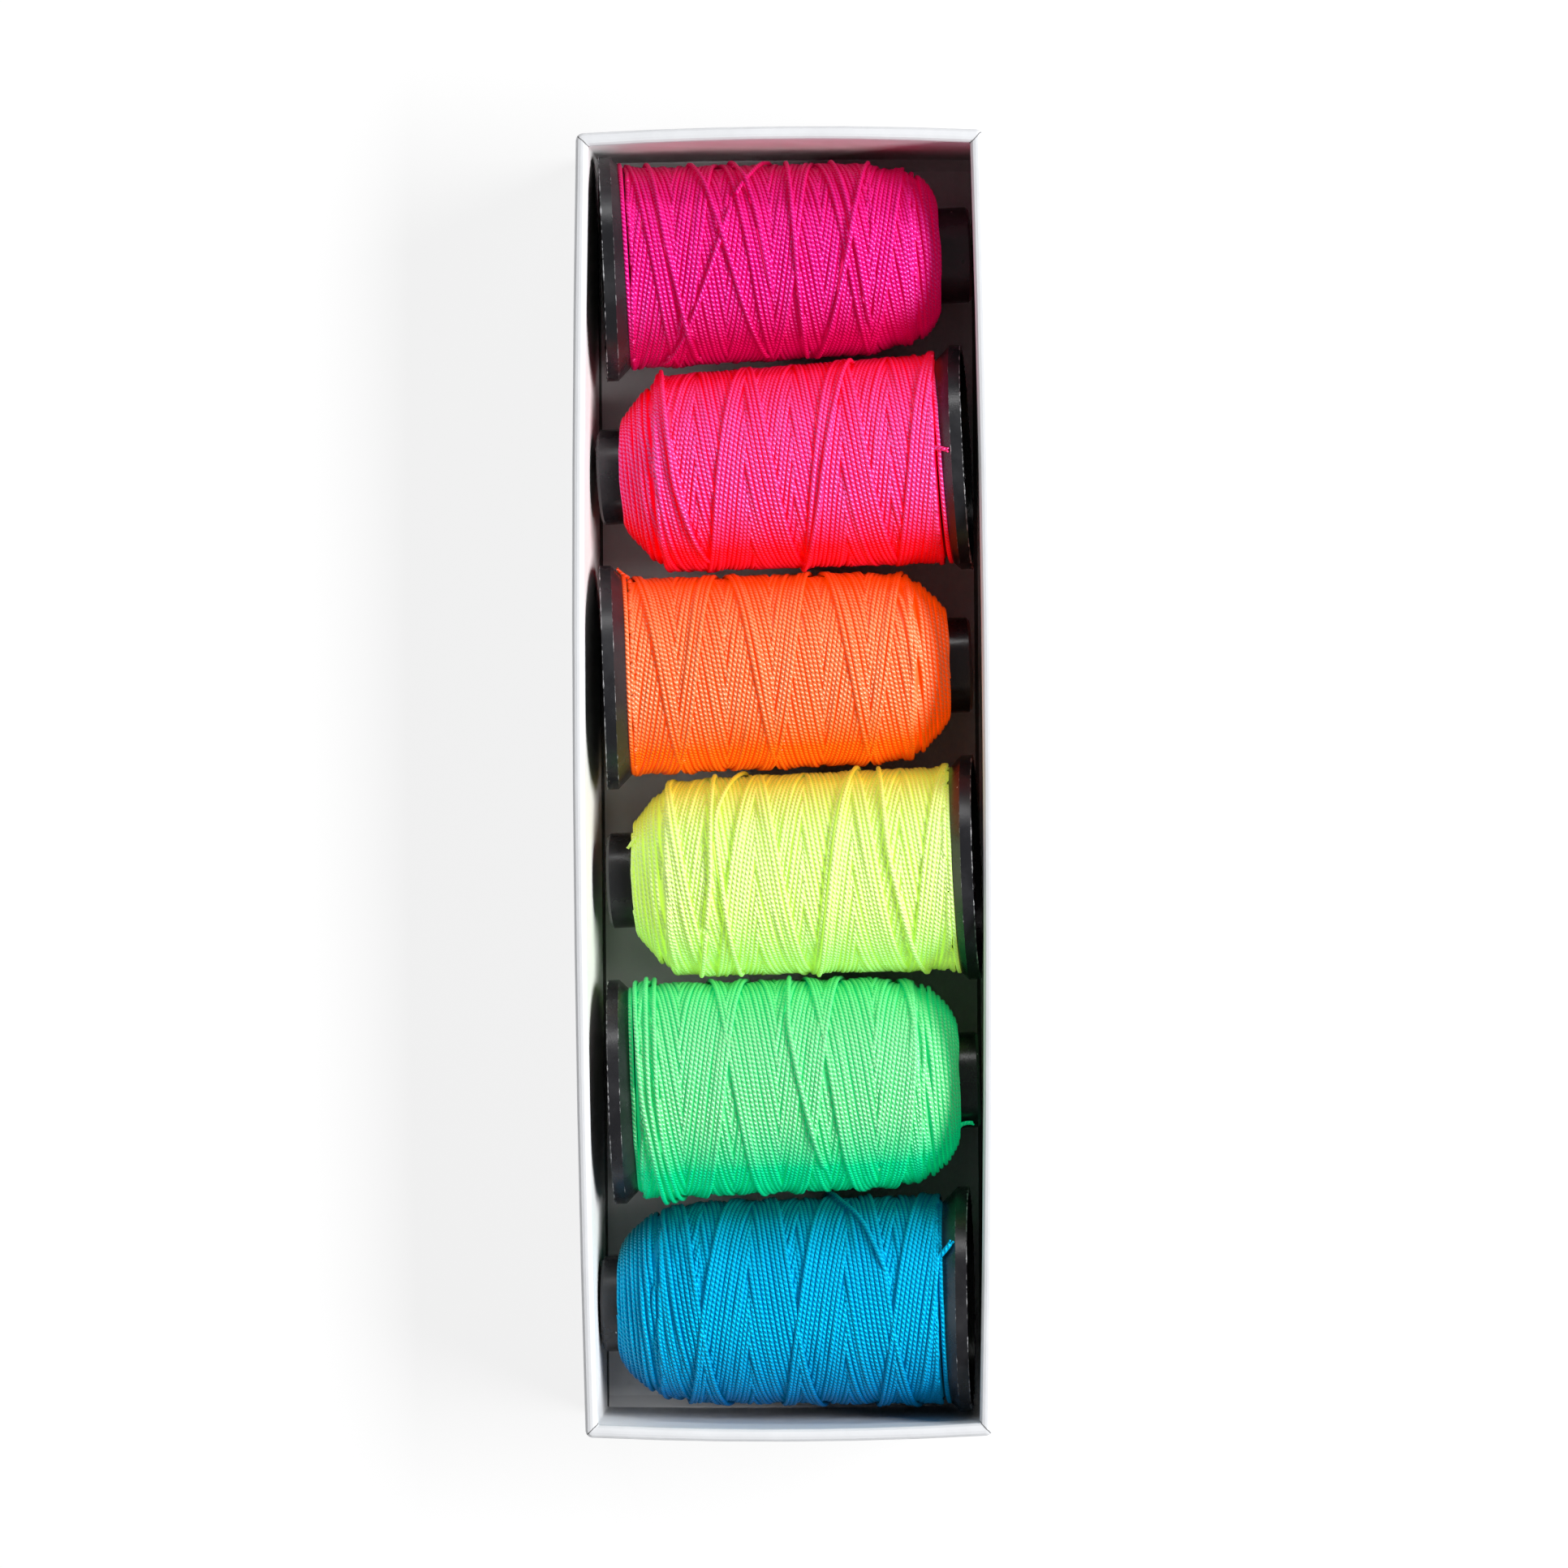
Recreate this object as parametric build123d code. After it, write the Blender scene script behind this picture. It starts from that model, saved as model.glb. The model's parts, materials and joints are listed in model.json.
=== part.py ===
from build123d import *
import math
import os

# Six spools of waxed thread, laid head to tail in an open card tray.
# Millimetres. X runs across the tray, Y along it and Z up out of its open top.
# The origin is the centre of the tray's underside.

# Spool core: one black moulding, a tube with a flared, hollow flange at one end.
# Lengths along a spool are measured from the open mouth of its flange towards its nose.
spool_length = 78.0
tube_r = 10.1
bore_r = 8.2
nose_round = 0.6
flange_r = 23.75
rim_band = 2.4          # width of the flange's cylindrical rim
cone_root_r = 20.0      # where the 45 degree flare leaves the flange's plate
moulded_wall = 1.3
hub_setback = 0.8       # how far the tube's end stands inside the mouth
rib_count = 6
rib_thickness = 1.2
rib_setback = 2.0       # how far the ribs stand inside the mouth
rib_sink = 0.4          # how far a rib's ends run into the walls that they join

# Winding: wound thread, filled to a little below the flange's rim and tapering to the nose.
thread_r = 0.45
seat_gap = 0.05         # between the winding and the moulding that it is wound on
nose_step = 1.8         # how far the winding's nose face stands above the tube
tail_run = 4.0          # free end, along the winding or the tube
tail_lift = 1.2         # free end, up the flare or away from the tube
tail_bend_r = 0.8

# Tray: folded card, with doubled walls rolled over along the top.
floor_card = 1.5
wall_card = 2.2
rim_roll = 2.7          # width of the rolled fold
rim_roll_depth = 5.0    # height over which the wall widens into the fold
rim_round = 1.1
rim_steps = 3
tray_corner_r = 1.6
rim_bow = 1.7           # how far the long walls belly out along the rim
left_foot_bow = 0.2     # the same at the foot of each long wall
right_foot_bow = 1.3
end_rim_bow = 1.1
end_foot_bow = 0.3
hem_width = 2.3         # turned-in hem of the card at the foot of each end wall
hem_height = 1.5

# Clearances
side_play = 2.6         # between a spool's length and the tray's inner width
end_gap = 0.3           # between the outermost flange and the fold along the end wall
neighbour_gap = 0.45    # between two windings that lie side by side
rest_gap = 0.15         # under each spool
rim_head_room = 0.85    # from the top of a flange up to the tray's rim

# Spools, from the +Y end to the -Y end.
# nose: +1 or -1, the way along X that the nose points.        yaw: its turn, degrees.
# wall_gap: from the flange's edge to the side wall.
# low_at_edge: how far below the rim the winding meets the flare.
# low_at_flange, low_at_nose: how far the winding's straight stretch stays below the rim.
# bare_nose: tube left bare past the winding.                  shoulder: length of its tapered end.
# crown: how far the shoulder rounds out beyond a straight taper.
# tail: where the free end lies.      tail_angle: from the top of the spool, towards +Y, degrees.
spools = [
    dict(name="magenta", nose=1, yaw=2.0, wall_gap=0.5, low_at_edge=2.3, low_at_flange=2.0,
         low_at_nose=3.3, bare_nose=6.5, shoulder=7.6, crown=1.9, tail="nose", tail_angle=-125.0),
    dict(name="pink", nose=-1, yaw=2.64, wall_gap=1.2, low_at_edge=2.3, low_at_flange=1.15,
         low_at_nose=2.4, bare_nose=4.8, shoulder=8.9, crown=0.5, tail="flange", tail_angle=3.0),
    dict(name="orange", nose=1, yaw=1.67, wall_gap=0.3, low_at_edge=2.8, low_at_flange=2.55,
         low_at_nose=3.05, bare_nose=4.6, shoulder=8.3, crown=0.7, tail="flange", tail_angle=84.0),
    dict(name="yellow", nose=-1, yaw=1.78, wall_gap=0.3, low_at_edge=2.1, low_at_flange=1.75,
         low_at_nose=2.45, bare_nose=5.2, shoulder=8.6, crown=0.6, tail="nose", tail_angle=37.0),
    dict(name="green", nose=1, yaw=1.55, wall_gap=2.0, low_at_edge=2.4, low_at_flange=0.55,
         low_at_nose=1.05, bare_nose=4.1, shoulder=9.8, crown=2.2, tail="nose", tail_angle=-52.0),
    dict(name="blue", nose=-1, yaw=0.56, wall_gap=1.75, low_at_edge=2.6, low_at_flange=1.2,
         low_at_nose=2.0, bare_nose=3.4, shoulder=12.4, crown=2.2, tail="flange", tail_angle=29.0),
]


# Where the spools lie

def wound_end(spool):
    return spool_length - spool["bare_nose"]


def shoulder_start(spool):
    return wound_end(spool) - spool["shoulder"]


def cone_station(radius):
    # Distance from the mouth to the flare's inner face at a radius.
    return rim_band + flange_r - radius


def wound_edge(spool):
    # Where the winding's straight stretch begins: it rises from the flare at 45 degrees.
    rise = spool["low_at_edge"] - spool["low_at_flange"]
    return cone_station(flange_r - spool["low_at_edge"]) + rise


def winding_radius(spool, station):
    # Radius of the winding's straight stretch at a distance from the mouth.
    at_flange = flange_r - spool["low_at_flange"]
    at_nose = flange_r - spool["low_at_nose"]
    start = wound_edge(spool)
    share = (station - start) / (shoulder_start(spool) - start)
    return at_flange + (at_nose - at_flange) * share


def lean(spool):
    # A spool rests on its flange's rim and on the edge of its winding's shoulder.
    return math.atan(spool["low_at_nose"] / (shoulder_start(spool) - rim_band))


def half_width_at_foot(side, y, half_length):
    # Half of the tray's inner width at the floor, at a place along the tray.
    bow = right_foot_bow if side > 0 else left_foot_bow
    return inner_half_width + bow * (1 - (y / half_length) ** 2)


def edge_reach(spool, radius):
    # How far the edge of a disc on the spool's axis reaches along X past the disc's centre.
    yaw = math.radians(spool["yaw"])
    return radius * math.hypot(math.sin(lean(spool)) * math.cos(yaw), math.sin(yaw))


def spacing(first, second):
    # Distance between two neighbours' axes at X = 0, set by whichever end is the tighter.
    turn = math.tan(math.radians(first["yaw"])) - math.tan(math.radians(second["yaw"]))
    needed = []
    for x in (-inner_half_width * 0.65, inner_half_width * 0.65):
        widths = 0
        for spool in (first, second):
            station = inner_half_width + x if spool["nose"] > 0 else inner_half_width - x
            widths += winding_radius(spool, station)
        needed.append(widths - x * turn)
    return max(needed) + neighbour_gap


inner_half_width = (spool_length + side_play) / 2

# Axes' places along the tray at X = 0, counted down from the first spool.
axis_places = [0.0]
for first, second in zip(spools, spools[1:]):
    axis_places.append(axis_places[-1] - spacing(first, second))

# Each flange's centre is off its axis place by its turn, and the first and last set the tray's length.
flange_offsets = [-s["nose"] * inner_half_width * math.tan(math.radians(s["yaw"])) for s in spools]
flange_places = [place + offset for place, offset in zip(axis_places, flange_offsets)]
stack_top = max(flange_places) + flange_r
stack_bottom = min(flange_places) - flange_r
inner_half_length = (stack_top - stack_bottom) / 2 + end_gap + rim_roll - wall_card
stack_centre = (stack_top + stack_bottom) / 2
tray_depth = floor_card + rest_gap + 2 * flange_r + rim_head_room


def spool_plane(spool, place):
    # Plane at the flange's mouth: its Z runs along the spool to the nose, its X up.
    yaw = math.radians(spool["yaw"])
    tip = lean(spool)
    nose = spool["nose"]
    along = Vector(nose * math.cos(yaw) * math.cos(tip), nose * math.sin(yaw) * math.cos(tip), -math.sin(tip))
    up = Vector(nose * math.cos(yaw) * math.sin(tip), nose * math.sin(yaw) * math.sin(tip), math.cos(tip))
    axis_y = place - stack_centre
    wall = half_width_at_foot(-nose, axis_y, inner_half_length)
    mouth_x = -nose * (wall - spool["wall_gap"] - edge_reach(spool, flange_r))
    mouth_y = axis_y + mouth_x * math.tan(yaw)
    mouth_z = floor_card + rest_gap + flange_r * math.cos(tip) + rim_band * math.sin(tip)
    return Plane(origin=(mouth_x, mouth_y, mouth_z), x_dir=up, z_dir=along)


def revolved(*path):
    # Solid of revolution about Z from a closed profile in the XZ plane.
    return revolve(make_face(Plane.XZ * Wire(path)), Axis.Z)


def line(*points):
    return Polyline(*points).edges()


# Core

def core():
    cone_end = cone_station(cone_root_r)
    slant = moulded_wall * math.tan(math.radians(22.5))
    shell = revolved(*line(
        (bore_r, hub_setback),
        (bore_r, spool_length),
        (tube_r - nose_round, spool_length),
        (tube_r, spool_length - nose_round),
        (tube_r, cone_end),
        (cone_root_r, cone_end),
        (flange_r, rim_band),
        (flange_r, 0),
        (flange_r - moulded_wall, 0),
        (flange_r - moulded_wall, rim_band - slant),
        (cone_root_r - slant, cone_end - moulded_wall),
        (tube_r, cone_end - moulded_wall),
        (tube_r, hub_setback),
        (bore_r, hub_setback),
    ))
    # The ribs are cut from one ring that fills the hollow and just enters the walls around it.
    plate_z = cone_end - moulded_wall + rib_sink
    band_z = max(rim_band - slant, rib_setback) + rib_sink
    rib_ring = revolved(*line(
        (tube_r - rib_sink, rib_setback),
        (tube_r - rib_sink, plate_z),
        (cone_root_r - slant + rib_sink, plate_z),
        (flange_r - moulded_wall + rib_sink, band_z),
        (flange_r - moulded_wall + rib_sink, rib_setback),
        (tube_r - rib_sink, rib_setback),
    ))
    blade = Location((flange_r / 2, 0, cone_end / 2)) * Box(flange_r, rib_thickness, 2 * cone_end)
    for turn in range(rib_count):
        shell += rib_ring & (Rotation(0, 0, 360 * turn / rib_count) * blade)
    return shell


# Winding

def winding(spool):
    edge_r = flange_r - spool["low_at_edge"]
    wide_r = flange_r - spool["low_at_flange"]
    narrow_r = flange_r - spool["low_at_nose"]
    inner_r = tube_r + seat_gap
    root = cone_station(cone_root_r) + seat_gap
    edge = cone_station(edge_r) + 2 * seat_gap
    end = wound_end(spool)
    face_r = tube_r + nose_step
    middle = Vector((narrow_r + face_r) / 2, (shoulder_start(spool) + end) / 2)
    outward = Vector(spool["shoulder"], narrow_r - face_r).normalized()
    shoulder = ThreePointArc(
        (narrow_r, shoulder_start(spool)), middle + outward * spool["crown"], (face_r, end))
    return revolved(
        *line((face_r, end), (inner_r, end), (inner_r, root), (cone_root_r, root), (edge_r, edge),
              (wide_r, edge + wide_r - edge_r), (narrow_r, shoulder_start(spool))),
        shoulder.edge())


# Free end of the thread

def free_end(spool):
    lay_r = thread_r + seat_gap
    if spool["tail"] == "nose":
        start = wound_end(spool) + seat_gap
        reach = spool["bare_nose"] - nose_round
        points = [
            (tube_r + lay_r, start),
            (tube_r + lay_r, start + reach * 0.4),
            (tube_r + lay_r + tail_lift * 0.5, start + reach * 0.75),
        ]
    else:
        on_winding = flange_r - spool["low_at_flange"] + lay_r
        foot = wound_edge(spool) + lay_r
        points = [
            (on_winding, foot + tail_run),
            (on_winding, foot),
            (on_winding + tail_lift, foot - tail_lift),
        ]
    route = Plane.XZ * FilletPolyline(*points, radius=tail_bend_r)
    section = Plane(origin=route @ 0, z_dir=route % 0) * Circle(thread_r)
    tail = sweep(section, path=route)
    return Rotation(0, 0, -spool["nose"] * spool["tail_angle"]) * tail


# Tray

def bowed_side(start, end, bow_x, bow_y):
    middle = ((start[0] + end[0]) / 2 + bow_x, (start[1] + end[1]) / 2 + bow_y)
    if bow_x == 0 and bow_y == 0:
        return Line(start, end).edge()
    return ThreePointArc(start, middle, end).edge()


def tray_section(z, inset):
    # Outline of the tray at a height, a distance inside its outer face.
    share = z / tray_depth
    half_x = inner_half_width + wall_card - inset
    half_y = inner_half_length + wall_card - inset
    left = left_foot_bow + (rim_bow - left_foot_bow) * share
    right = right_foot_bow + (rim_bow - right_foot_bow) * share
    end = end_foot_bow + (end_rim_bow - end_foot_bow) * share
    corners = [(half_x, half_y), (-half_x, half_y), (-half_x, -half_y), (half_x, -half_y)]
    bows = [(0, end), (-left, 0), (0, -end), (right, 0)]
    sides = []
    for i, (bow_x, bow_y) in enumerate(bows):
        sides.append(bowed_side(corners[i], corners[(i + 1) % 4], bow_x, bow_y))
    outline = make_face(Wire(sides))
    radius = max(tray_corner_r - inset, tray_corner_r / 4)
    return Plane.XY.offset(z) * fillet(outline.vertices(), radius)


def lofted(sections):
    # Stack of straight-sided lofts through sections given as (height, inset).
    solid = None
    for (low_z, low_inset), (high_z, high_inset) in zip(sections, sections[1:]):
        step = loft([tray_section(low_z, low_inset), tray_section(high_z, high_inset)], ruled=True)
        solid = step if solid is None else solid + step
    return solid


def tray():
    # The rolled fold's top is rounded by short steps, outside and inside alike.
    fold_z = tray_depth - rim_round
    turns = [math.radians(90 * i / rim_steps) for i in range(1, rim_steps + 1)]
    rises = [(fold_z + rim_round * math.sin(turn), rim_round * (1 - math.cos(turn))) for turn in turns]
    outer = [(0, 0), (fold_z, 0)] + rises
    inner = [(floor_card, wall_card), (tray_depth - rim_roll_depth, wall_card), (fold_z, rim_roll)]
    inner += [(z, rim_roll - inset) for z, inset in rises]
    return lofted(outer) - lofted(inner)


def hem(end):
    # Wedge of turned-in card at the foot of one end wall.
    wall_y = end * (inner_half_length + wall_card / 2)
    edge_y = end * (inner_half_length - hem_width)
    outline = Polyline((edge_y, floor_card), (wall_y, floor_card), (wall_y, floor_card + hem_height),
                       (end * inner_half_length, floor_card + hem_height), close=True)
    strip = extrude(Plane.YZ * make_face(outline), amount=inner_half_width + wall_card / 2, both=True)
    return strip


def write(name, shape):
    shape.label = name
    export_step(shape, "parts/" + name + ".step")


os.makedirs("parts", exist_ok=True)
write("tray", tray() + hem(1) + hem(-1))
moulding = core()
for spool, place in zip(spools, axis_places):
    plane = spool_plane(spool, place)
    write(spool["name"] + "_core", plane * moulding)
    write(spool["name"] + "_thread", plane * winding(spool))
    write(spool["name"] + "_thread_end", plane * free_end(spool))
    print(spool["name"], "mouth", plane.origin, "nose way", plane.z_dir, "lean", round(math.degrees(lean(spool)), 3))
print("tray half width, half length, depth:", inner_half_width, inner_half_length, tray_depth)
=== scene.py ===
import json
import math
import bpy
import numpy as np
from mathutils import Matrix, Vector


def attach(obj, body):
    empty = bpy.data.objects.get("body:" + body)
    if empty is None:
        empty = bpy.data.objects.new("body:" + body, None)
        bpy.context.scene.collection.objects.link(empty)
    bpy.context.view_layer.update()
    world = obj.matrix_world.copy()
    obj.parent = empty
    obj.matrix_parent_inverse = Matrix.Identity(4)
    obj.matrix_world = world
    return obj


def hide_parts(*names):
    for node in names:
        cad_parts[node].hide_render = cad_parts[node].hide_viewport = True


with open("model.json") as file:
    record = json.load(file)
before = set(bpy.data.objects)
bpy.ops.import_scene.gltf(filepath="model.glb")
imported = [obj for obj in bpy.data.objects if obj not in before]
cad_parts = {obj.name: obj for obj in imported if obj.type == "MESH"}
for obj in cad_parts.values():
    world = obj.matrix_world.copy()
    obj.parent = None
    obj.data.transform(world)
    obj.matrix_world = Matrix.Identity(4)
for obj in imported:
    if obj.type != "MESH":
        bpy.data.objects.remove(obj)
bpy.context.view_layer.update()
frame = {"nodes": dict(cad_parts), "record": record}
mm = 0.001
fullTurn = 2 * math.pi
white = (1.0, 1.0, 1.0, 1.0)
spoolNames = ["magenta", "pink", "orange", "yellow", "green", "blue"]
print("frame loaded")


class Finish:
    # A new material, and the ways to add nodes to it.
    def __init__(self, name):
        self.material = bpy.data.materials.new(name)
        self.material.use_nodes = True
        self.tree = self.material.node_tree
        self.shader = self.tree.nodes["Principled BSDF"]

    def fill(self, socket, value):
        # A number or a colour is set, and another node's output is linked.
        if isinstance(value, (int, float, tuple)):
            socket.default_value = value
        else:
            self.tree.links.new(value, socket)

    def add(self, kind, inputs=None, **settings):
        node = self.tree.nodes.new("ShaderNode" + kind)
        for label, setting in settings.items():
            setattr(node, label, setting)
        for label, value in (inputs or {}).items():
            self.fill(node.inputs[label], value)
        return node

    def shade(self, inputs):
        for label, value in inputs.items():
            self.fill(self.shader.inputs[label], value)
        return self.material

    def math(self, operation, *values):
        return self.add("Math", dict(enumerate(values)), operation=operation).outputs[0]

    def vectorMath(self, operation, first, second, result):
        return self.add("VectorMath", {0: first, 1: second}, operation=operation).outputs[result]

    def noise(self, vector, scale, detail, roughness=0.5):
        inputs = {"Vector": vector, "Scale": scale, "Detail": detail, "Roughness": roughness}
        return self.add("TexNoise", inputs).outputs["Fac"]

    def span(self, value, source, target=(0, 1)):
        # Source's two ends become target's, and what lies past them stays at target's.
        inputs = {"Value": value, "From Min": source[0], "From Max": source[1],
                  "To Min": target[0], "To Max": target[1]}
        return self.add("MapRange", inputs).outputs[0]

    def mix(self, share, first, second, blend="MIX"):
        inputs = {"Factor": share, "A": first, "B": second}
        return self.add("Mix", inputs, data_type="RGBA", blend_type=blend).outputs["Result"]

    def bump(self, height, strength, distance, below=None):
        inputs = {"Strength": strength, "Distance": distance, "Height": height}
        if below is not None:
            inputs["Normal"] = below
        return self.add("Bump", inputs).outputs["Normal"]


cameraSettings = {
    "place": (0.038, 0.0, 1.480),
    "aim": (0.0, 0.0, 0.050),
    "roll": -0.43,            # degrees
    "lens": 157.47,
    "sensor": 36,
    "clip": (0.05, 20),
}


def placeCamera():
    place = Vector(cameraSettings["place"])
    ahead = (Vector(cameraSettings["aim"]) - place).normalized()
    right = ahead.cross(Vector((0, 1, 0))).normalized()
    top = right.cross(ahead)
    axes = Matrix((right, top, -ahead)).transposed()
    turned = axes @ Matrix.Rotation(math.radians(cameraSettings["roll"]), 3, "Z")
    bpy.ops.object.camera_add(location=place, rotation=turned.to_euler())
    camera = bpy.context.object
    camera.data.lens = cameraSettings["lens"]
    camera.data.sensor_width = cameraSettings["sensor"]
    camera.data.clip_start, camera.data.clip_end = cameraSettings["clip"]
    bpy.context.scene.camera = camera


lightSettings = {
    "sky": white,
    "skyStrength": 0.13,
    "skySeen": 0.86,          # how bright the camera sees the sky
    "aim": (0, 0, 0.03),
    # place, width, height and watts of each lamp
    "lamps": {
        "rightSoftbox": ((1.10, 0.0, 1.15), 1.4, 0.45, 46.0),
        "farStrip": ((0.0, 1.6, 0.95), 1.6, 0.2, 8.0),
        "leftFill": ((-1.6, 0.0, 0.32), 1.6, 0.3, 6.5),
    },
}


def placeLights():
    world = bpy.data.worlds.new("studio")
    bpy.context.scene.world = world
    world.use_nodes = True
    sky = world.node_tree.nodes["Background"]
    sky.inputs["Color"].default_value = lightSettings["sky"]
    seen = world.node_tree.nodes.new("ShaderNodeMapRange")
    seen.inputs["To Min"].default_value = lightSettings["skyStrength"]
    seen.inputs["To Max"].default_value = lightSettings["skySeen"]
    path = world.node_tree.nodes.new("ShaderNodeLightPath")
    world.node_tree.links.new(path.outputs["Is Camera Ray"], seen.inputs["Value"])
    world.node_tree.links.new(seen.outputs["Result"], sky.inputs["Strength"])
    for name, (place, width, height, watts) in lightSettings["lamps"].items():
        turn = (Vector(lightSettings["aim"]) - Vector(place)).to_track_quat("-Z", "Y").to_euler()
        bpy.ops.object.light_add(type="AREA", location=place, rotation=turn)
        lamp = bpy.context.object
        lamp.name = name
        lamp.data.shape = "RECTANGLE"
        lamp.data.size = width
        lamp.data.size_y = height
        lamp.data.energy = watts


floorSettings = {
    "size": 6.0,
    "colour": (0.14, 0.14, 0.14, 1),
    "roughness": 0.8,
    "lit": 0.825,             # how strongly the paper is lit from below
}


def placeFloor():
    bpy.ops.mesh.primitive_plane_add(size=floorSettings["size"], location=(0, 0, 0))
    floor = bpy.context.object
    floor.name = "studioFloor"
    floor.data.materials.append(Finish("studioPaper").shade({
        "Base Color": floorSettings["colour"],
        "Roughness": floorSettings["roughness"],
        "Emission Color": white,
        "Emission Strength": floorSettings["lit"],
    }))


placeCamera()
placeLights()
placeFloor()
bpy.context.scene.view_settings.view_transform = "Standard"
print("camera, light and floor placed")


cardSettings = {
    # the card is one white; the rim (colour) and the outer faces (outside) get darker greys than the lining
    # (inside): painted shade
    "colour": (0.62, 0.63, 0.65, 1),
    "shade": (0.57, 0.58, 0.60, 1),
    "inside": (0.80, 0.80, 0.80, 1),
    "insideTop": (0.044, 0.048),     # heights between which the lining gives way to the rolled rim
    "outside": (0.44, 0.45, 0.46, 1),
    "outward": (0.002, 0.010),       # distances from the middle, along its normal, that make a face outer
    # dark colour of the corner seams, also painted along the wall's inner foot as shade in the fold
    "seam": (0.10, 0.10, 0.10, 1),
    "seamOffset": 0.0935,    # a corner seam runs where the distances from the middle lines differ by this
    "seamEdge": (0.000078, 0.000208),    # distances from a seam's line over which it fades
    "seamFrom": (0.0462, 0.0472),    # heights over which the seams come in, on the rim only
    "seamWobble": (-0.0004, 0.0004),
    "foot": (0.0400, 0.0408),        # distances between which the wall's inner foot is creased and painted dark, as painted shade in the fold
    "footTop": 0.0036,
    "roughness": (0.48, 0.62),
    "fibreSpan": (0.3, 0.7),
    # scale and detail of the noises, and their roughness where it isn't even
    "fibre": (900, 4),
    "cloud": (40, 2),
    "dents": (95, 2, 0.4),
    "wobble": (500, 2),
    # strength and distance of the bumps
    "dentBump": (0.35, 0.0012),
    "fibreBump": (0.2, 0.0002),
    "seamBump": (-1.0, 0.0004),
}


def makeCardFinish():
    card = cardSettings
    finish = Finish("whiteCard")
    spot = finish.add("TexCoord").outputs
    place = spot["Object"]
    fibre, cloud, dents = (finish.noise(place, *card[kind]) for kind in ("fibre", "cloud", "dents"))
    axes = finish.add("SeparateXYZ", {0: place}).outputs
    farX, farY = (finish.math("ABSOLUTE", axes[axis]) for axis in ("X", "Y"))
    wobble = finish.span(finish.noise(place, *card["wobble"]), (0, 1), card["seamWobble"])
    off = finish.math("ADD", finish.math("SUBTRACT", farX, farY), card["seamOffset"])
    off = finish.math("ADD", off, wobble)
    line = finish.span(finish.math("ABSOLUTE", off), card["seamEdge"], (1, 0))
    seam = finish.math("MULTIPLY", line, finish.span(axes["Z"], card["seamFrom"]))
    # the outer faces are those that look away from the tray's middle, and are painted in shade
    flat = finish.vectorMath("MULTIPLY", place, (1, 1, 0), "Vector")
    away = finish.vectorMath("DOT_PRODUCT", flat, spot["Normal"], "Value")
    outside = finish.span(away, card["outward"])
    # painted shade: a dark line in the fold along the wall's inner foot, low down and away from the outer
    # faces
    foot = finish.math("GREATER_THAN", farX, card["foot"][0])
    foot = finish.math("MULTIPLY", foot, finish.span(outside, (0, 1), (1, 0)))
    foot = finish.math("MULTIPLY", foot, finish.math("LESS_THAN", farX, card["foot"][1]))
    foot = finish.math("MULTIPLY", foot, finish.math("LESS_THAN", axes["Z"], card["footTop"]))
    # from here the seams' mask also carries the painted shade of the foot
    seam = finish.math("MAXIMUM", seam, foot)
    paper = finish.mix(cloud, card["colour"], card["shade"])
    rim = finish.span(axes["Z"], card["insideTop"])
    # painted shade: the rim and, below it, the outer faces take darker greys than the lining
    lower = finish.mix(outside, card["inside"], card["outside"])
    paper = finish.mix(rim, lower, paper)
    dented = finish.bump(dents, *card["dentBump"])
    grained = finish.bump(fibre, *card["fibreBump"], dented)
    return finish.shade({
        "Base Color": finish.mix(seam, paper, card["seam"]),
        "Roughness": finish.span(fibre, card["fibreSpan"], card["roughness"]),
        "Normal": finish.bump(seam, *card["seamBump"], grained),
    })


plasticSettings = {
    "colour": (0.011, 0.011, 0.013, 1),
    "worn": (0.026, 0.026, 0.029, 1),
    "wornFrom": (0.45, 0.75),        # levels of the smear over which worn comes in
    "dust": (0.55, 0.53, 0.50, 1),
    "dustCells": 300,
    "dustSize": 0.05,
    "cleanShare": 0.72,              # how much of the cells hold no dust
    "roughness": (0.20, 0.34),
    "smearSpan": (0.3, 0.7),
    "grain": (2200, 3),
    "smear": (60, 4, 0.65),
    "grainBump": (0.2, 0.0001),
}


def makePlasticFinish():
    plastic = plasticSettings
    finish = Finish("blackPlastic")
    place = finish.add("TexCoord").outputs["Object"]
    grain = finish.noise(place, *plastic["grain"])
    smear = finish.noise(place, *plastic["smear"])
    cells = finish.add("TexVoronoi", {"Scale": plastic["dustCells"], "Vector": place}).outputs
    near = finish.math("LESS_THAN", cells["Distance"], plastic["dustSize"])
    pick = finish.add("SeparateXYZ", {0: cells["Color"]}).outputs["X"]
    dusty = finish.math("GREATER_THAN", pick, plastic["cleanShare"])
    dust = finish.math("MULTIPLY", near, dusty)
    worn = finish.span(smear, plastic["wornFrom"])
    body = finish.mix(worn, plastic["colour"], plastic["worn"])
    return finish.shade({
        "Base Color": finish.mix(dust, body, plastic["dust"]),
        "Roughness": finish.span(smear, plastic["smearSpan"], plastic["roughness"]),
        "Normal": finish.bump(grain, *plastic["grainBump"]),
    })


flashLook = {
    "whole": (0.03, 0.03, 0.033, 1),
    "torn": (0.34, 0.34, 0.35, 1),
    "tornFrom": (0.42, 0.62),        # levels of the noise over which torn comes in
    "broken": (700, 3, 0.7),
    "roughness": 0.45,
}


def makeFlashFinish():
    # The thin torn line that the mould leaves round a flange.
    finish = Finish("mouldFlash")
    place = finish.add("TexCoord").outputs["Object"]
    torn = finish.span(finish.noise(place, *flashLook["broken"]), flashLook["tornFrom"])
    return finish.shade({
        "Base Color": finish.mix(torn, flashLook["whole"], flashLook["torn"]),
        "Roughness": flashLook["roughness"],
    })


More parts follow.
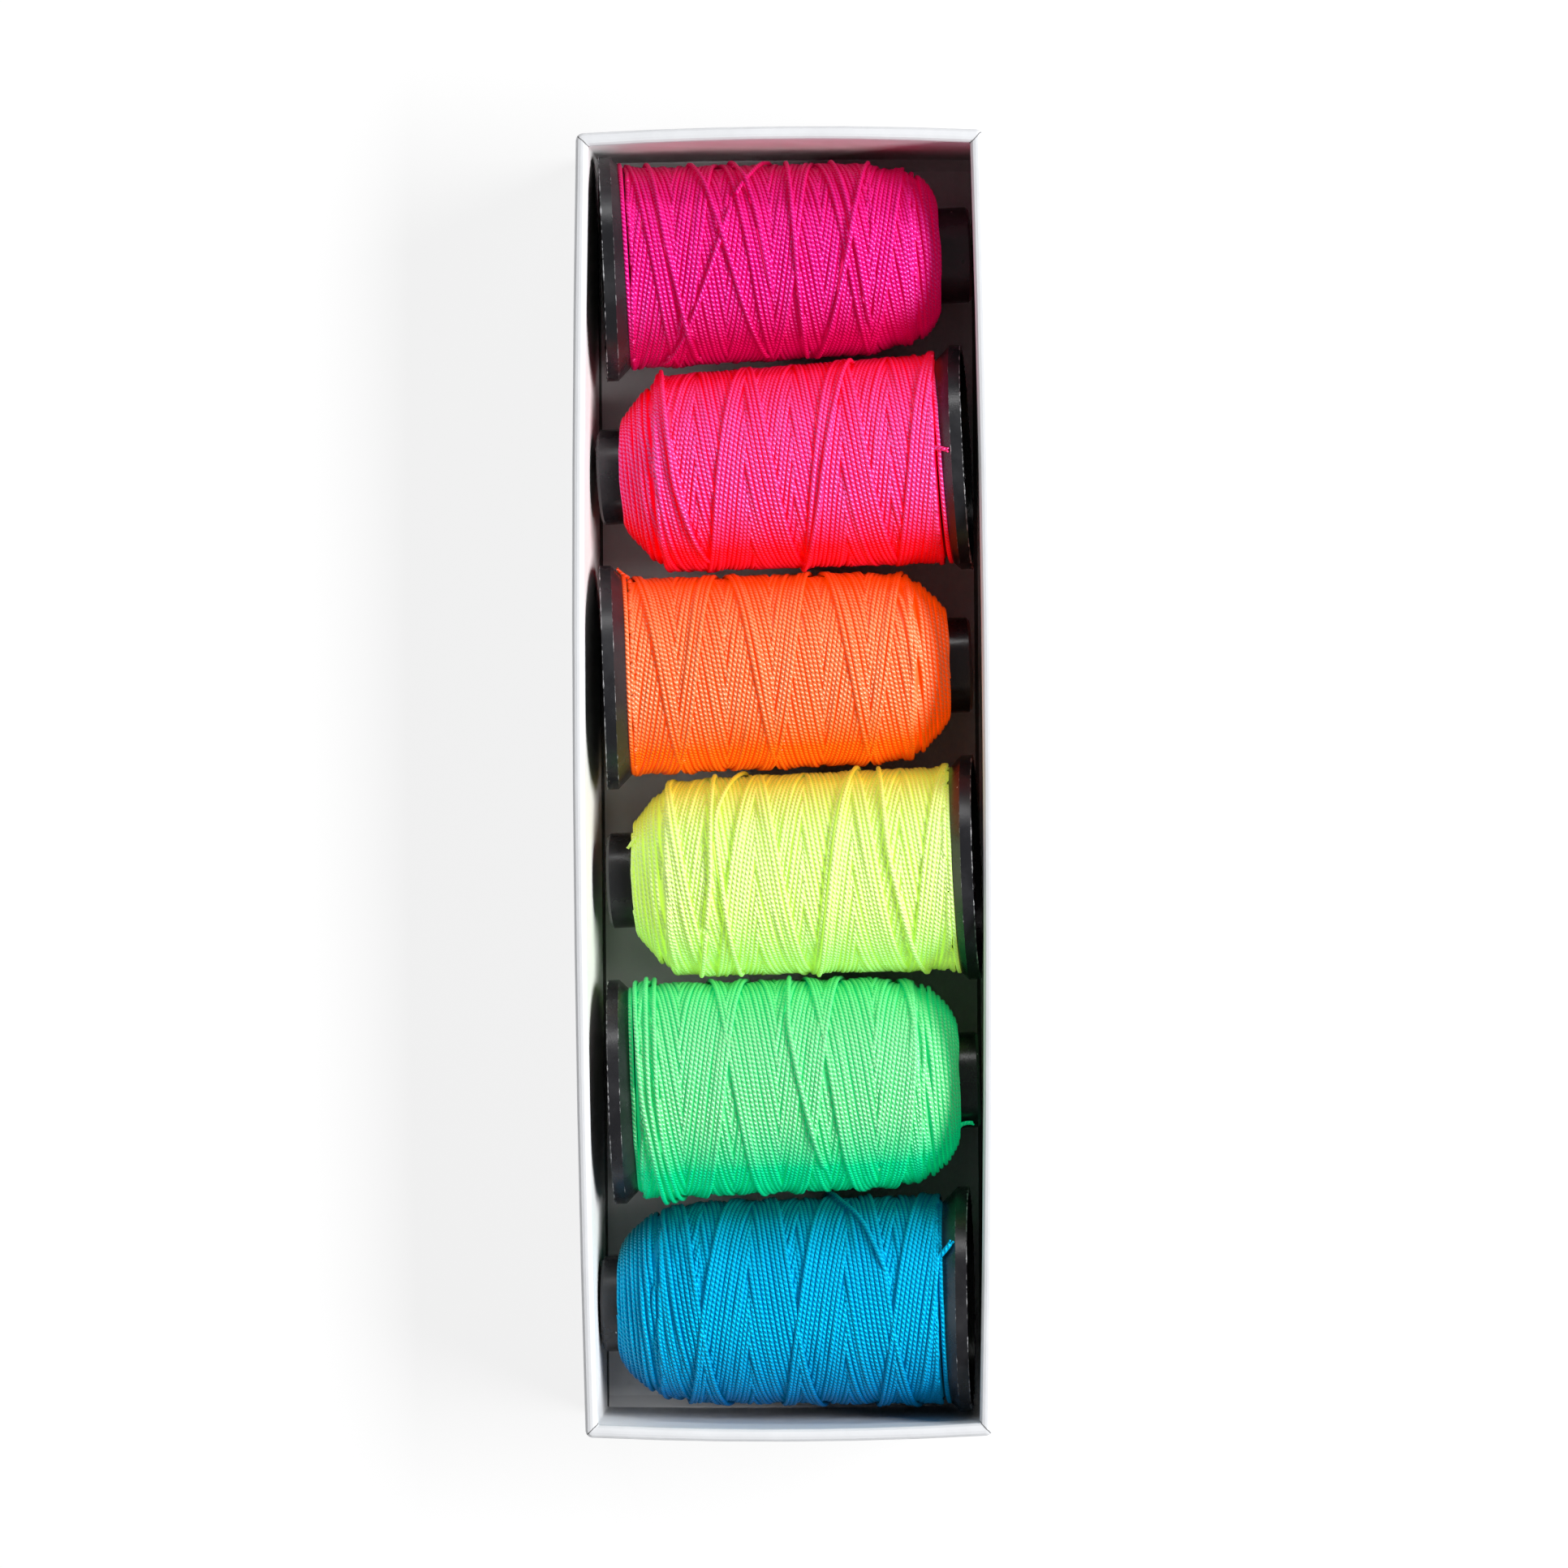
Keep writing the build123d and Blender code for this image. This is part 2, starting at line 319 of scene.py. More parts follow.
threadColours = {
    # main: on the crowns; the darker colour between turns and plies is painted shade; glow: painted light,
    # an emission standing in for the neon dye's fluorescence, which keeps it bright in shade; head and foot:
    # multiplied into both colours on the flanks towards +Y and -Y, as painted shade and painted light of the
    # neighbours; tint: of the gloss
    "magenta": {"main": (0.70, 0.016, 0.29, 1), "gapShade": (0.58, 0.001, 0.13, 1), "glow": (0.20, 0.0, 0.02, 1),
                "head": (0.74, 0.14, 0.36, 1), "foot": (0.62, 0.06, 0.28, 1), "tint": (1, 0.34, 0.9, 1)},
    "pink": {"main": (0.75, 0.095, 0.40, 1), "gapShade": (0.70, 0.012, 0.16, 1), "glow": (0.38, 0.0, 0.0, 1),
             "head": (0.90, 0.28, 0.34, 1), "foot": (1.0, 0.18, 0.14, 1), "tint": (0.7, 0.45, 1, 1)},
    "orange": {"main": (0.77, 0.30, 0.14, 1), "gapShade": (0.74, 0.09, 0.014, 1), "glow": (0.40, 0.035, 0.0, 1),
               "head": (1.0, 0.24, 0.16, 1), "foot": (1.0, 0.50, 0.0, 1), "tint": (0.6, 0.6, 0.6, 1)},
    "yellow": {"main": (0.60, 0.81, 0.36, 1), "gapShade": (0.57, 0.80, 0.25, 1), "glow": (0.26, 0.36, 0.04, 1),
               "head": (1.0, 0.33, 0.0, 1), "foot": (0.46, 0.90, 0.85, 1), "tint": (0.5, 0.5, 0.3, 1)},
    "green": {"main": (0.28, 0.65, 0.29, 1), "gapShade": (0.11, 0.57, 0.21, 1), "glow": (0.0, 0.23, 0.08, 1),
              "head": (0.60, 1.0, 0.72, 1), "foot": (0.0, 0.88, 0.92, 1), "tint": (0.7, 0.85, 0.8, 1)},
    "blue": {"main": (0.004, 0.42, 0.70, 1), "gapShade": (0.0, 0.30, 0.58, 1), "glow": (0.0, 0.035, 0.065, 1),
             "head": (0.6, 0.26, 0.12, 1), "foot": (0.05, 0.18, 0.42, 1), "tint": (0, 0.7, 1, 1)},
}
threadFinish = {
    "plies": 3,
    "plyLength": 1.0,         # millimetres of thread from one ply to the next
    "plyPower": 0.55,         # the lower, the fuller the plies
    "plyShare": (0.05, 1.0),  # of main, from between the plies to their tops; between them is painted shade
    "crown": (0.05, 0.85),    # cosines of the angle from the crown over which main comes in; further round, painted shade
    "patchSpan": (0.3, 0.7),
    "patchShare": (0.8, 1.0),
    "roughness": 0.36,
    "index": 1.7,
    "gloss": (0.1, 1.0),
    "glossFrom": (0.3, 0.9),  # levels of a ply over which its gloss comes in
    # painted light: strength of the glow in the gaps and on the topmost crowns, and the rises over which it
    # comes in from underneath and fades towards the top
    "gapGlow": 1.2,
    "topGlow": 0.2,
    "glowFoot": (-0.1, 0.45),
    "glowTop": (0.40, 1.0),
    "turnOver": (-0.2, 0.2),  # facing over which the foot's painted light and shade take over from the head's
    # rise between which the painted light and shade of the neighbours comes in
    "headRise": (0.90, 0.40),
    "footRise": {"magenta": (0.93, 0.58), "pink": (0.93, 0.58), "orange": (0.96, 0.62),
                 "yellow": (0.95, 0.55), "green": (0.97, 0.68), "blue": (0.98, 0.40)},
    "fuzz": (3000, 2),
    "patch": (120, 3),
    "plyBump": (1.0, 0.00018),
    "fuzzBump": (0.25, 0.00006),
}


def makeThreadFinish(name):
    # UV X runs along the thread in millimetres; Y goes once round it, from the crown.
    look, colours = threadFinish, threadColours[name]
    finish = Finish(name + "Thread")
    thread = finish.add("SeparateXYZ", {0: finish.add("UVMap").outputs["UV"]}).outputs
    around = finish.math("MULTIPLY", thread["Y"], fullTurn)
    crown = finish.span(finish.math("COSINE", around), look["crown"])
    twist = finish.math("MULTIPLY", thread["X"], fullTurn / look["plyLength"])
    wound = finish.math("MULTIPLY", around, look["plies"])
    wave = finish.math("SINE", finish.math("ADD", wound, twist))
    ply = finish.math("POWER", finish.span(wave, (-1, 1)), look["plyPower"])
    place = finish.add("TexCoord").outputs["Object"]
    fuzz, patch = (finish.noise(place, *look[kind]) for kind in ("fuzz", "patch"))
    # painted shade: the thread darkens to its gap colour down its sides, between the plies and in the gaps;
    # the patch noise varies it at random
    share = finish.math("MULTIPLY", crown, finish.span(ply, (0, 1), look["plyShare"]))
    share = finish.math("MULTIPLY", share, finish.span(patch, look["patchSpan"], look["patchShare"]))
    own = finish.mix(share, colours["gapShade"], colours["main"])
    rise, facing = (finish.add("Attribute", attribute_name=label).outputs["Fac"]
                    for label in ("rise", "facing"))
    # painted shade and painted light of the neighbours: towards the flanks the colour is multiplied by head
    # towards +Y or foot towards -Y
    lower = finish.span(facing, look["turnOver"])
    thrown = finish.mix(lower, colours["head"], colours["foot"])
    head, foot = (finish.span(rise, levels) for levels in (look["headRise"], look["footRise"][name]))
    flank = finish.math("MAXIMUM", head, finish.math("MULTIPLY", lower, foot))
    base = finish.mix(flank, own, thrown, "MULTIPLY")
    # painted light: the gaps glow alike all round, the crowns mostly on the flanks, and nothing underneath
    under = finish.span(rise, look["glowFoot"])
    over = finish.span(rise, look["glowTop"], (1 - look["gapGlow"], look["topGlow"] - look["gapGlow"]))
    over = finish.math("ADD", finish.math("MULTIPLY", share, over), look["gapGlow"])
    twisted = finish.bump(ply, *look["plyBump"])
    return finish.shade({
        "Base Color": base,
        "Emission Color": colours["glow"],
        "Emission Strength": finish.math("MULTIPLY", under, over),
        "Specular IOR Level": finish.span(ply, look["glossFrom"], look["gloss"]),
        "Roughness": look["roughness"],
        "IOR": look["index"],
        "Specular Tint": colours["tint"],
        "Normal": finish.bump(fuzz, *look["fuzzBump"], twisted),
    })


cardFinish = makeCardFinish()
plasticFinish = makePlasticFinish()
flashFinish = makeFlashFinish()
threadFinishes = {name: makeThreadFinish(name) for name in spoolNames}
print("finishes made")


def dress(node, material):
    data = frame["nodes"][node].data
    data.materials.clear()
    data.materials.append(material)


dress("tray", cardFinish)
for name in spoolNames:
    dress(name + "_core", plasticFinish)


def spoolPlace(name):
    # Where a spool lies: the middle of its flange's mouth, and its directions.
    mount = next(m for m in frame["record"]["mounts"] if m["name"] == name + "_bore")
    nose = -Vector(mount["axis"]).normalized()
    centre = Vector(mount["pos_m"])
    first = min((v.co - centre).dot(nose) for v in frame["nodes"][name + "_core"].data.vertices)
    up = (Vector((0, 0, 1)) - nose * nose.z).normalized()
    return {"mouth": np.array(centre + nose * first), "nose": np.array(nose),
            "up": np.array(up), "side": np.array(nose.cross(up))}


def windingOutline(name, place):
    # Upper hull of the CAD winding's stations and radii, in millimetres, from the flare to the nose face.
    data = frame["nodes"][name + "_thread"].data
    points = np.array([v.co for v in data.vertices]) - place["mouth"]
    stations = points @ place["nose"]
    radii = np.linalg.norm(points - np.outer(stations, place["nose"]), axis=1)
    pairs = sorted(set(zip(np.round(stations / mm, 2), np.round(radii / mm, 2))))
    hull = []
    for pair in pairs:
        while len(hull) > 1 and ((hull[-1][0] - hull[-2][0]) * (pair[1] - hull[-2][1])
                                 - (hull[-1][1] - hull[-2][1]) * (pair[0] - hull[-2][0])) >= 0:
            hull.pop()
        hull.append(pair)
    end = hull[-1][0]
    face = end - windingSettings["faceDepth"]
    while len(hull) > 2 and hull[-1][0] > face:
        hull.pop()
    top = max(radius for station, radius in pairs if station > face)
    over = windingSettings["overFlare"]
    first = (hull[0][0] - over, hull[0][1] + windingSettings["overFlareRise"] * over)
    return np.array([first] + hull + [(end, top), (end, coreSettings["tubeRadius"])])


# the core's outside where the winding sits on it: its tube, its plate, and the 45 degree flare, where
# station and radius add up to flareSum
coreSettings = {"tubeRadius": 10.1, "plateStation": 6.25, "flareSum": 26.3}

# lengths in millimetres; stations along a spool start at its flange's mouth, and angles at its top
windingSettings = {
    "threadRadius": 0.49,
    "seed": {"magenta": 11, "pink": 12, "orange": 13, "yellow": 14, "green": 15, "blue": 16},
    # the outline that the thread is wound to
    "faceDepth": 0.05,        # points this near the end belong to the nose face
    "overFlare": 0.75,        # how far the first turns reach out over the flare
    "overFlareRise": 0.6,     # and how much they rise on that way, as a share of it
    "outlinePoints": 4,       # to a cell
    "outlineEase": 0.5,
    "shoulderPull": {"magenta": 1.4, "pink": 0.1, "orange": 0.6, "yellow": 0.3, "green": 0.9, "blue": 0.9},
    "pullFrom": 57,           # station where the pull on the shoulder begins
    "pullPower": 0.8,
    # the map of heights
    "cell": 0.15,
    "columns": 360,
    "bare": -9.0,             # height where no thread lies
    "evenRows": 12,           # cells evened together
    "evenColumns": 12,
    "evenEvery": 3,           # passes
    "settleOver": 9,          # points over which the shift of the heights is averaged
    "seenCrown": 0.5,         # a cell shows a thread that is at least this share of its radius high there
    "seenSlack": 0.01,
    "seenSpread": 7,          # points by which a stretch that shows is lengthened, both ends together
    "shortest": 5,            # a stretch of this many points or fewer is left out
    # how a long thread rests
    "edge": 0.05,             # nothing is laid this near the outline's ends
    "stiffReach": 8,
    "stiffWidth": 3.2,
    "sag": 0.16,              # the most that a thread sinks into what it lies on
    "press": 0.8,             # no thread lies further than this off its neighbours' level
    "diveOver": 16,           # degrees over which a loose end goes down under its neighbours
    # the close rows of the shoulder
    "shoulderLayers": (0.5, 0.0),    # turns by which each layer is set off
    "shoulderFrom": 60.5,
    "shoulderPitch": 1.4,
    "shoulderSpare": 3,
    "shoulderLean": (2.3, 0.7),      # how far a row leans along the spool, at the body and at the nose
    "leanWaver": 0.25,
    "shoulderWaver": 0.03,
    "shoulderRates": (0.37, 0.73, 1.31, 2.2, 3.7),
    "waverPhase": 6,
    # the close turns beside the flare
    "flareTurns": 3,
    "flareFirst": 0.42,
    "flarePitch": 0.94,
    "flareLean": 0.3,
    "flareLeanOver": 9,       # radians
    "flareDive": 1.2,
    "flareLift": 0.1,         # of a thread's own line above the flare
    "flareWaver": 0.06,
    "flareRates": (0.37, 0.73, 1.31, 2.2),
    # the body's crossing passes
    "pitch": 0.96,            # between neighbouring turns
    "passTurns": 6,           # turns out to the nose and back
    "bodyPasses": 46,
    "flangeTurn": {"magenta": 4.4, "pink": 5.2, "orange": 5.1, "yellow": 4.2, "green": 5.3, "blue": 5.4},
    "noseTurn": 65.4,         # both are stations where the thread would turn back if it turned sharply
    "nearest": 0.8,           # of any turn to the outline's start
    "nearestLaid": 0.45,      # of any thread to it
    "turnSoftness": 0.36,     # radians over which it does turn
    "turnScatter": 0.15,
    "retreat": 0.05,          # how much shorter the way gets with each pass
    "wander": 0.06,           # scatter of the pitch
    "ripple": 0.05,
    "rippleRates": (1.7, 4.3),
    "crossing": {"magenta": 75, "pink": -92, "orange": 59, "yellow": -95, "green": 146, "blue": -20},
    # strands that stray over the rest: stations and angles
    "strandPeak": 4,          # a strand lies on the highest of this many points each way
    "strandReach": 9,
    "strandWidth": 4.0,
    "strayDive": 2.0,
    "strayLead": 9.0,         # the most that a strand's hidden part leads along the spool, per radian
    "strayReach": 0.7,        # radians of hidden part at each end
    "strayEase": 15,
    "strays": {
        "magenta": [[(31.9, -57), (28.1, -36), (25.7, -18), (23.1, 2), (18.4, 34), (16.2, 49)],
                    [(21.6, -53), (24.4, -22), (29.5, 31), (31.1, 46)],
                    [(11.1, -59), (13.2, -11), (17.4, 44)],
                    [(30.2, -55), (32.3, -31), (33.5, -9)],
                    [(39.9, -54), (40.2, -21), (40.7, 15), (41.8, 53)],
                    [(50.6, -52), (52.4, -20), (54.3, 17)],
                    [(55.2, -51), (51.6, -3), (46.8, 54)]],
        "pink": [[(62.9, 57), (60.8, -9), (58.3, -35)],
                 [(25.2, 48), (30.5, -22), (33.4, -56)]],
        "orange": [],
        "yellow": [[(54.7, 57), (54.9, 1), (57.5, -49)],
                   [(50.9, 67), (53.6, 39), (53.9, 30), (52.5, -7), (51.2, -49)],
                   [(25.9, 60), (29.5, -1), (32.5, -52)],
                   [(19.1, 59), (17.4, 9), (12.9, -55)]],
        "green": [[(38.3, -61), (38.1, -35), (40.0, -5), (42.1, 19)],
                  [(6.4, -66), (6.7, -20), (7.2, 5), (8.7, 29), (10.1, 56), (10.8, 80)],
                  [(8.2, -66), (8.3, -20), (8.6, 5), (9.9, 29), (11.5, 56), (12.4, 80)],
                  [(9.9, -66), (10.0, -20), (10.2, 5), (11.2, 29), (12.9, 56), (14.0, 80)]],
        "blue": [[(26.4, 71), (22.0, 52)]],
    },
    # the tubes that the visible stretches become, and the filling under them
    "sides": 6,
    "flatness": 0.88,         # of the threads' tops
    "pointEvery": 4,
    "crownDrop": 0.35,        # from the mean height down to the threads' own line
    "sink": 1.1,              # depth of the filling
    "fillingSteps": 240,
    "fillingEvery": 4,
    "fillingGap": 0.05,       # between the filling and the tube
    "fillingAround": 96,
}
columnAngle = fullTurn / windingSettings["columns"]


def unit(rows):
    return rows / np.linalg.norm(rows, axis=1)[:, None]


def outward(points):
    # Unit normals of an outline, which look away from the spool's axis.
    slope = unit(np.gradient(points, axis=0))
    return np.stack([-slope[:, 1], slope[:, 0]], 1)


def bell(reach, width):
    weights = np.exp(-0.5 * (np.arange(-reach, reach + 1) / width) ** 2)
    return weights / weights.sum()


def evened(values, weights):
    reach = len(weights) // 2
    padded = np.concatenate([np.full(reach, values[0]), values, np.full(reach, values[-1])])
    return np.convolve(padded, weights, "valid")


class Surface:
    # Height of the wound thread over the winding's outline, by place along the outline and angle round it.
    def __init__(self, outline, pull):
        w = windingSettings
        steps = np.linalg.norm(np.diff(outline, axis=0), axis=1)
        run = np.concatenate([[0], np.cumsum(steps)])
        self.count = w["evenRows"] * int(run[-1] / w["cell"] / w["evenRows"])
        self.length = self.count * w["cell"]
        self.fine = np.linspace(0, self.length, w["outlinePoints"] * self.count)
        raw = np.stack([np.interp(self.fine, run, outline[:, i]) for i in (0, 1)], 1)
        width = int(w["outlineEase"] / (self.fine[1] - self.fine[0]))
        reach = 3 * width
        padded = np.concatenate([2 * raw[0] - raw[reach:0:-1], raw, 2 * raw[-1] - raw[-2:-reach - 2:-1]])
        smooth = np.stack([np.convolve(padded[:, i], bell(reach, width), "valid") for i in (0, 1)], 1)
        share = np.clip((smooth[:, 0] - w["pullFrom"]) / (smooth[-1, 0] - w["pullFrom"]), 0, 1)
        pulled = pull * np.sin(math.pi * share) ** w["pullPower"]
        self.points = smooth - pulled[:, None] * outward(smooth)
        self.normals = outward(self.points)
        self.heights = np.zeros((self.count, w["columns"]))
        self.shift = np.zeros_like(self.heights)

    def alongOf(self, station):
        return float(np.interp(station, self.points[:, 0], self.fine))

    def at(self, along, height):
        # Stations and radii at a height over the outline, and the outline's normals there.
        at = [np.interp(along, self.fine, v) for v in (*self.points.T, *self.normals.T)]
        return at[0] + at[2] * height, at[1] + at[3] * height, at[2], at[3]

    def rowOf(self, along):
        return np.clip((along / windingSettings["cell"]).astype(int), 0, self.count - 1)

    def cells(self, along):
        # Each row of cells that a thread covers, where it does, and how high its round side stands there.
        cell = windingSettings["cell"]
        radius = windingSettings["threadRadius"]
        reach = int(radius / cell) + 1
        middle = np.floor(along / cell).astype(int)
        for shift in range(-reach, reach + 1):
            row = middle + shift
            offset = (row + 0.5) * cell - along
            inside = (np.abs(offset) < radius) & (row >= 0) & (row < self.count)
            crown = np.sqrt(np.clip(radius ** 2 - offset ** 2, 0, None))
            yield np.clip(row, 0, self.count - 1), inside, crown

    def rest(self, along, columns):
        # Where a thread's own line lies when it touches what is already there.
        rest = np.full(len(along), windingSettings["bare"])
        for row, inside, crown in self.cells(along):
            rest = np.where(inside, np.maximum(rest, self.heights[row, columns] + crown), rest)
        return rest

    def raiseTo(self, along, columns, level):
        for row, inside, crown in self.cells(along):
            mine = np.where(inside, level + crown, windingSettings["bare"])
            self.heights[row, columns] = np.maximum(self.heights[row, columns], mine)
        return level + self.shift[self.rowOf(along), columns]

    def even(self):
        # Take broad hills and hollows out of the heights, and remember how much was taken.
        tall, wide = windingSettings["evenRows"], windingSettings["evenColumns"]
        rows, columns = self.count // tall, windingSettings["columns"] // wide
        coarse = self.heights.reshape(rows, tall, columns, wide).mean((1, 3))
        coarse = (np.roll(coarse, 1, 1) + 2 * coarse + np.roll(coarse, -1, 1)) / 4
        padded = np.concatenate([coarse[:1], coarse, coarse[-1:]])
        coarse = (padded[:-2] + 2 * padded[1:-1] + padded[2:]) / 4
        row = np.clip((np.arange(self.count) + 0.5) / tall - 0.5, 0, rows - 1.001)
        low, part = row.astype(int), (row % 1)[:, None]
        broad = coarse[low] * (1 - part) + coarse[low + 1] * part
        column = (np.arange(windingSettings["columns"]) + 0.5) / wide - 0.5
        low, part = np.floor(column).astype(int), column % 1
        broad = broad[:, low % columns] * (1 - part) + broad[:, (low + 1) % columns] * part
        self.heights -= broad
        self.shift += broad

    def settled(self, along, columns, level):
        # Heights over the outline once nothing more is evened out.
        over = windingSettings["settleOver"]
        taken = self.shift[self.rowOf(along), columns % windingSettings["columns"]]
        return level - evened(taken, np.ones(over) / over)

    def seen(self, along, columns, level):
        # Where a thread is still the topmost.
        w = windingSettings
        columns = columns % w["columns"]
        shows = np.zeros(len(along), bool)
        for row, inside, crown in self.cells(along):
            broad = inside & (crown > w["seenCrown"] * w["threadRadius"])
            shows |= broad & (level + crown >= self.heights[row, columns] - w["seenSlack"])
        return shows


def turnBack(distance):
    # Distance past a turn, rounded over so that the thread swings back gently.
    return np.sqrt(distance ** 2 + windingSettings["turnSoftness"] ** 2)


def swing(phi, first, last, start, goal, rate):
    # The way from one turn to the next, which starts and arrives gently.
    missed = goal - start - rate * (turnBack(phi - first) + turnBack(last - phi))
    return start + rate * turnBack(phi - first) + missed * ((phi - first) / (last - first))


def endDive(count):
    # 1 at both ends of a thread and 0 along its middle.
    place = np.arange(count)
    near = np.clip(np.minimum(place, place[::-1]) / windingSettings["diveOver"], 0, 1)
    return 1 - near ** 2 * (3 - 2 * near)


def layThread(surface, along, ks, dive=0.0):
    # Rest a long thread on what is there, a turn at a time, stiff enough to bridge small dips.
    w = windingSettings
    inside = (along > w["edge"]) & (along < surface.length - w["edge"])
    along, ks = along[inside], ks[inside]
    drop = dive * endDive(len(ks))
    columns = ks % w["columns"]
    turn, margin, press = w["columns"], w["stiffReach"], w["press"]
    weights = bell(margin, w["stiffWidth"])
    level = np.zeros(len(along))
    before = None
    for first in range(0, len(along), turn):
        last, ahead = min(first + turn, len(along)), min(first + turn + margin, len(along))
        rest = surface.rest(along[first:ahead], columns[first:ahead])
        if before is None:
            before = np.full(margin, rest[0])
        after = np.full(margin - (ahead - last), rest[-1])
        smooth = np.convolve(np.concatenate([before, rest, after]), weights, "valid")[:last - first]
        own = np.maximum(smooth, rest[:last - first] - w["sag"])
        own = press * np.tanh(own / press) - drop[first:last]
        level[first:last] = surface.raiseTo(along[first:last], columns[first:last], own)
        before = np.concatenate([before, rest[:last - first]])[-margin:]
    return along, ks, level


def layStrand(surface, along, ks):
    # A short taut strand, which bridges from crown to crown and goes under at both ends.
    w = windingSettings
    columns = ks % w["columns"]
    rest = surface.rest(along, columns)
    span = w["strandPeak"]
    padded = np.concatenate([np.full(span, rest[0]), rest, np.full(span, rest[-1])])
    peak = np.max([padded[i:i + len(rest)] for i in range(2 * span + 1)], 0)
    level = evened(peak, bell(w["strandReach"], w["strandWidth"])) - w["strayDive"] * endDive(len(ks))
    return along, ks, surface.raiseTo(along, columns, level)


def waver(phi, rng, spread, rates):
    # An uneven drift along the spool.
    return sum(rng.normal(0, spread) * np.sin(phi * rate + rng.uniform(0, windingSettings["waverPhase"]))
               for rate in rates)


def windShoulder(surface, rng):
    w = windingSettings
    foot = surface.alongOf(w["shoulderFrom"])
    turns = int((surface.length - foot) / w["shoulderPitch"]) + w["shoulderSpare"]
    ks = np.arange(turns * w["columns"])[::-1]
    phi = ks * columnAngle
    laid = []
    for layer in w["shoulderLayers"]:
        base = foot - w["shoulderLean"][0] + w["shoulderPitch"] * (phi / fullTurn + layer)
        share = np.clip((base - foot) / (surface.length - foot), 0, 1)
        lean = w["shoulderLean"][0] * (1 - share) + w["shoulderLean"][1] * share
        drift = waver(phi, rng, w["shoulderWaver"], w["shoulderRates"])
        laid.append(layThread(surface, base + lean * np.sin(phi + w["leanWaver"] * drift) + drift, ks))
        surface.even()
    return laid


def windFlare(surface, rng):
    w = windingSettings
    ks = np.arange(w["flareTurns"] * w["columns"])[::-1]
    phi = ks * columnAngle
    drift = waver(phi, rng, w["flareWaver"], w["flareRates"])
    lean = np.minimum(phi / w["flareLeanOver"], 1) * w["flareLean"]
    along = w["flareFirst"] + w["flarePitch"] * phi / fullTurn + lean * (1 - np.sin(phi)) + drift
    laid = layThread(surface, along, ks + w["columns"] // 2, w["flareDive"])
    surface.even()
    return [laid]


def windBody(name, surface, rng, wander):
    # Passes out to the nose and back, the oldest first, each beside the one before.
    w = windingSettings
    near = max(surface.alongOf(w["flangeTurn"][name]), w["nearest"])
    stop = surface.alongOf(w["noseTurn"])
    rate = (2 * (stop - near) - w["pitch"]) / w["passTurns"] / fullTurn
    crossing = math.radians(w["crossing"][name])

    def beginning(age):
        return crossing - math.pi - (w["pitch"] * age + wander[max(age, 0)]) / rate

    laid = []
    last = 0
    for age in range(w["bodyPasses"], -1, -1):
        far = stop + w["retreat"] * age
        begin, nextBegin = beginning(age), beginning(age - 1)
        turn = begin + (far - near) / rate
        finish = turn + (far - near) / rate
        nextBegin += fullTurn * round((finish - nextBegin) / fullTurn)
        ripple = rng.uniform(0, fullTurn, 4)
        ks = np.arange(math.ceil(begin / columnAngle), math.ceil(nextBegin / columnAngle))
        phi = ks * columnAngle
        out = swing(phi, begin, turn, near, far, rate)
        back = swing(phi, turn, nextBegin, far, near, -rate)
        along = np.where(phi < turn, out, back)
        along = along + w["ripple"] * sum(np.sin(phi * speed + phase)
                                          for speed, phase in zip(w["rippleRates"], ripple))
        for place in (begin, turn, nextBegin):
            # where this turn falls short of the last, or runs past it
            short = rng.normal(0, w["turnScatter"]) if place > begin else last
            along = along + short * np.exp(-(phi - place) ** 2)
            last = short
        laid.append(layThread(surface, np.maximum(along, w["nearestLaid"]), ks))
        if age % w["evenEvery"] == 0:
            surface.even()
    return laid


def windStrays(name, surface):
    w = windingSettings
    laid = []
    for strand in w["strays"][name]:
        stations, angles = np.array(strand).T
        order = np.argsort(angles)
        stations, angles = stations[order], np.radians(angles[order])
        slopes = np.clip(np.diff(stations) / np.diff(angles), -w["strayLead"], w["strayLead"])
        reach = w["strayReach"]
        ends = stations[0] - slopes[0] * reach, stations[-1] + slopes[-1] * reach
        stations = np.concatenate([[ends[0]], stations, [ends[1]]])
        angles = np.concatenate([[angles[0] - reach], angles, [angles[-1] + reach]])
        ks = np.arange(int(angles[0] / columnAngle), int(angles[-1] / columnAngle))
        run = np.interp(ks * columnAngle, angles, stations)
        run = evened(run, np.ones(w["strayEase"]) / w["strayEase"])
        along = np.array([surface.alongOf(station) for station in run])
        laid.append(layStrand(surface, np.maximum(along, w["nearestLaid"]), ks))
    return laid


def windSpool(name, surface):
    w = windingSettings
    rng = np.random.default_rng(w["seed"][name])
    wander = np.concatenate([[0], np.cumsum(rng.normal(0, w["wander"], w["bodyPasses"]))])
    laid = windShoulder(surface, rng) + windFlare(surface, rng)
    laid += windBody(name, surface, rng, wander) + windStrays(name, surface)
    return [(along, ks, surface.settled(along, ks, level)) for along, ks, level in laid]


def seenRuns(surface, laid):
    # The stretches of thread that show, in one piece each.
    runs = []
    for along, ks, level in laid:
        shows = surface.seen(along, ks, level)
        wide = np.convolve(shows, np.ones(windingSettings["seenSpread"]), "same") > 0
        edges = np.flatnonzero(np.diff(np.concatenate([[0], wide.astype(int), [0]])))
        breaks = np.flatnonzero(np.abs(np.diff(ks)) != 1) + 1
        for first, last in zip(edges[::2], edges[1::2]):
            cuts = [first] + [b for b in breaks if first < b < last] + [last]
            for a, b in zip(cuts, cuts[1:]):
                if b - a > windingSettings["shortest"]:
                    runs.append((along[a:b], ks[a:b] * columnAngle, level[a:b]))
    return runs


